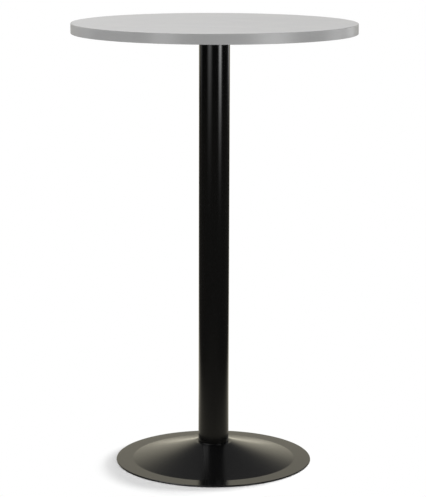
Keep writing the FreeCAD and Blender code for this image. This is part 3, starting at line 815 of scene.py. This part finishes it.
class MakeStudio(bpy.types.Operator):
    """Make the floor, the surrounding light, the lamps and the camera"""

    bl_idname = "pubtable.make_studio"
    bl_label = "Make the studio"

    FLOOR_REACH = 8.0
    PAPER_SOFT_LEFT = 0.35  # where the lit paper is at its full brightness in gloss, left of the column
    PAPER_SOFT_RIGHT = 0.2  # and right of it
    PAPER_WIDENING = 0.06  # how the lit paper widens with the square of the distance behind the column
    PAPER_DARK = 0.1  # brightness in gloss of the paper outside the lit part

    BACKDROP_MIDDLE = (-0.12, 0.99, 0.0)  # the way from the table to the middle of the backdrop in gloss
    BACKDROP_SIDES = (0.55, 0.85)  # where it starts and where it is full, along that way
    BACKDROP_RISE = (0.22, 0.0, 1.0)  # the way up across its slanting upper edge
    BACKDROP_TOP = (0.61, 0.23)  # where it ends and where it is full, along that way
    ROOM_DEPTH = (0.1, 0.5)  # where the room in gloss is dark and where it is light, towards the backdrop
    ROOM_DARK = (0.02, 0.02, 0.02)
    ROOM_LIGHT = (0.15, 0.15, 0.15)

    BOX_HEIGHT = 0.7
    BAND_HEIGHT = 0.85
    # Softboxes: turn from the camera's side in degrees, distance, height, size, watts, how steeply they
    # darken to their foot, and whether they leave out the edge band and laminate or light only those.
    BOXES = {
        "box_right": (43.0, 1.6, BOX_HEIGHT, (1.0, 0.8), 38.0, 3.0, "EXCLUDE"),
        "box_left": (-35.0, 1.6, BOX_HEIGHT, (1.4, 0.8), 12.5, 3.0, "EXCLUDE"),
        "box_behind": (130.0, 2.6, BOX_HEIGHT, (1.2, 0.8), 18.0, 3.0, None),
        "box_far_left": (-111.0, 2.0, BOX_HEIGHT, (0.8, 0.8), 1.8, 3.0, None),
        "band_right": (42.6, 1.6, BAND_HEIGHT, (1.35, 1.6), 14.2, 0.0, "INCLUDE"),
        "band_left": (-36.5, 1.6, BAND_HEIGHT, (1.0, 1.6), 6.0, 0.0, "INCLUDE"),
        "band_side": (105.0, 2.2, BAND_HEIGHT, (1.6, 1.6), 9.7, 0.0, "INCLUDE"),
    }

    def execute(self, context):
        look = context.scene.pub_studio
        floor = self.make_floor(look)
        self.make_world(look)
        self.make_lamp("overhead", place=(-1.5, 0.0, 4.5), target_height=0.0, size=(4.0, 4.0), power=150.0)
        pale = [bpy.data.objects[name] for name in ("edge_band_trimmed", "top_laminate_pressed")]
        for name, (*box, pale_state) in self.BOXES.items():
            lamp = self.make_box(name, *box)
            if pale_state:
                self.link(lamp, pale, pale_state)
        self.make_floor_light(floor)
        self.make_camera(look)
        context.scene.view_settings.view_transform = "Standard"
        return {"FINISHED"}

    def make_floor(self, look):
        """The sheet of paper that the table stands on."""
        bm = bmesh.new()
        corners = ((-1, -1), (1, -1), (1, 1), (-1, 1))
        bm.faces.new([bm.verts.new((x * self.FLOOR_REACH, y * self.FLOOR_REACH, 0.0)) for x, y in corners])
        mesh = bpy.data.meshes.new("floor")
        bm.to_mesh(mesh)
        bm.free()
        floor = bpy.data.objects.new("floor", mesh)
        bpy.context.scene.collection.objects.link(floor)
        mesh.materials.append(self.floor_finish(look))
        return floor

    def floor_finish(self, look):
        """White paper that keeps the table's shadow, is clear from below and darkens forwards in gloss."""
        material = bpy.data.materials.new("floor")
        material.use_nodes = True
        material.node_tree.nodes.clear()
        paper = Shading(material.node_tree)
        place = paper.node("TexCoord").outputs["Object"]
        path = paper.node("LightPath").outputs

        centre = (-look.glow_left, -look.glow_front, 0.0)
        reach = paper.node("VectorMath", {0: place, 1: centre}, operation="DISTANCE").outputs["Value"]
        glow = paper.ease(reach, look.glow_start, look.glow_end)
        seen = paper.pick(glow, paper.first("BsdfDiffuse", Color=look.floor_seen), paper.first("Emission"))

        side, depth, _ = paper.node("SeparateXYZ", Vector=place).outputs
        ahead = paper.calculate("SUBTRACT", depth, look.paper_back)
        ahead = paper.calculate("DIVIDE", ahead, look.paper_fall)
        level = paper.calculate("EXPONENT", paper.calculate("MINIMUM", ahead, 0.0))
        squared = paper.calculate("POWER", paper.calculate("MAXIMUM", depth, 0.0), 2.0)
        widening = paper.calculate("MULTIPLY_ADD", squared, self.PAPER_WIDENING, 1.0)
        across = paper.calculate("DIVIDE", side, widening)
        left = paper.ease(across, -look.paper_left, -self.PAPER_SOFT_LEFT, look.paper_level)
        right = paper.ease(across, look.paper_right, self.PAPER_SOFT_RIGHT)
        level = paper.calculate("MULTIPLY", level, paper.calculate("MULTIPLY", left, right))
        level = paper.calculate("ADD", level, self.PAPER_DARK)
        mirrored = paper.first("Emission", Color=look.reflected, Strength=level)

        plain = paper.first("BsdfDiffuse", Color=look.floor_colour)
        surface = paper.pick(path["Is Camera Ray"], plain, seen)
        surface = paper.pick(path["Is Glossy Ray"], surface, mirrored)
        below = paper.node("NewGeometry").outputs["Backfacing"]
        surface = paper.pick(below, surface, paper.first("BsdfTransparent"))
        paper.node("OutputMaterial", Surface=surface)
        return material

    def make_world(self, look):
        """White to the camera, a bright backdrop behind and a dark room in gloss, and even for the rest."""
        world = bpy.data.worlds.new("studio")
        bpy.context.scene.world = world
        world.use_nodes = True
        world.cycles.sampling_method = "NONE"
        world.node_tree.nodes.clear()
        sky = Shading(world.node_tree)
        direction = sky.node("TexCoord").outputs["Generated"]
        path = sky.node("LightPath").outputs

        def along_way(way):
            return sky.node("VectorMath", {0: direction, 1: way}, operation="DOT_PRODUCT").outputs["Value"]

        behind = sky.ease(along_way(self.BACKDROP_MIDDLE), *self.BACKDROP_SIDES)
        low = sky.ease(along_way(self.BACKDROP_RISE), *self.BACKDROP_TOP)
        depth = sky.node("SeparateXYZ", Vector=direction).outputs["Y"]
        room = sky.mix(sky.ease(depth, *self.ROOM_DEPTH), self.ROOM_DARK, self.ROOM_LIGHT)
        room = sky.mix(sky.calculate("MULTIPLY", behind, low), room, look.reflected)
        seen = sky.mix(path["Is Glossy Ray"], (look.ambient,) * 3, room)
        seen = sky.mix(path["Is Camera Ray"], seen, (1.0, 1.0, 1.0))
        sky.node("OutputWorld", Surface=sky.first("Background", Color=seen))

    def make_lamp(self, name, place, target_height, size, power):
        """A rectangular lamp that faces the column's axis at a height and that the camera doesn't see."""
        light = bpy.data.lights.new(name, "AREA")
        light.shape = "RECTANGLE"
        light.size, light.size_y = size
        light.energy = power
        lamp = bpy.data.objects.new(name, light)
        lamp.location = place
        way = Vector((0.0, 0.0, target_height)) - Vector(place)
        lamp.rotation_euler = way.to_track_quat("-Z", "Y").to_euler()
        lamp.visible_camera = False
        bpy.context.scene.collection.objects.link(lamp)
        return lamp

    def make_box(self, name, turn, distance, height, size, power, fall):
        """A softbox round the column, dark at its sides and falling off to its foot."""
        angle = math.radians(turn)
        place = (distance * math.sin(angle), -distance * math.cos(angle), height)
        lamp = self.make_lamp(name, place, height, size, power)
        lamp.data.use_nodes = True
        cloth = Shading(lamp.data.node_tree)
        spot = cloth.node("NewGeometry").outputs["Parametric"]
        across, up, _ = cloth.node("SeparateXYZ", Vector=spot).outputs
        level = cloth.calculate("POWER", up, fall)
        for end in (0.0, 1.0):
            level = cloth.calculate("MULTIPLY", level, cloth.ease(across, end, 0.5))
        cloth.feed(lamp.data.node_tree.nodes["Emission"].inputs["Strength"], level)
        return lamp

    def make_floor_light(self, floor):
        """A low strip that casts the table's shadow on the floor, and lights nothing else."""
        strip = self.make_lamp(
            "floor_light", place=(2.3, 1.93, 0.22), target_height=0.0, size=(3.0, 0.12), power=1150.0)
        strip.visible_glossy = False
        strip.data.cycles.max_bounces = 0  # so that none of its light bounces off the floor to the table
        self.link(strip, [floor])

    def link(self, lamp, pieces, state="INCLUDE"):
        """Makes a lamp light only some pieces, or all pieces but those."""
        group = bpy.data.collections.new(f"{lamp.name}_pieces")
        for piece in pieces:
            group.objects.link(piece)
        for entry in group.collection_objects:
            entry.light_linking.link_state = state
        lamp.light_linking.receiver_collection = group

    def make_camera(self, look):
        """The camera, in front of the table and a little above it, tilted down."""
        data = bpy.data.cameras.new("camera")
        data.lens = look.focal_length
        data.sensor_width = 36.0
        data.clip_end = 100.0
        camera = bpy.data.objects.new("camera", data)
        camera.location = (-look.camera_side, -look.camera_distance, look.camera_height)
        tilt = Matrix.Rotation(math.pi / 2 - look.camera_pitch, 4, "X")
        camera.rotation_euler = (tilt @ Matrix.Rotation(look.camera_roll, 4, "Z")).to_euler()
        bpy.context.scene.collection.objects.link(camera)
        bpy.context.scene.camera = camera


SETTINGS = {
    "pub_top": TopSettings,
    "pub_column": ColumnSettings,
    "pub_base": BaseSettings,
    "pub_hardware": HardwareSettings,
    "pub_studio": StudioSettings,
}
OPERATORS = (MakeTop, MakeSpider, MakeColumn, MakeBase, MakeHardware, MakeFeet, MakeStudio)


class PubTablePanel(bpy.types.Panel):
    """Buttons for each group of pieces, with their settings"""

    bl_idname = "VIEW3D_PT_pub_table"
    bl_label = "Pub table"
    bl_space_type = "VIEW_3D"
    bl_region_type = "UI"
    bl_category = "Pub table"

    def draw(self, context):
        for operator in OPERATORS:
            self.layout.operator(operator.bl_idname)
        for group, kind in SETTINGS.items():
            box = self.layout.box()
            for name in kind.__annotations__:
                box.prop(getattr(context.scene, group), name)


def register():
    for kind in (*SETTINGS.values(), *OPERATORS, PubTablePanel):
        bpy.utils.register_class(kind)
    for group, kind in SETTINGS.items():
        setattr(bpy.types.Scene, group, PointerProperty(type=kind))


def unregister():
    for group in SETTINGS:
        delattr(bpy.types.Scene, group)
    for kind in (PubTablePanel, *OPERATORS, *SETTINGS.values()):
        bpy.utils.unregister_class(kind)


def main():
    register()
    for operator in OPERATORS:
        group, name = operator.bl_idname.split(".")
        getattr(getattr(bpy.ops, group), name)()


if __name__ == "__main__":
    main()
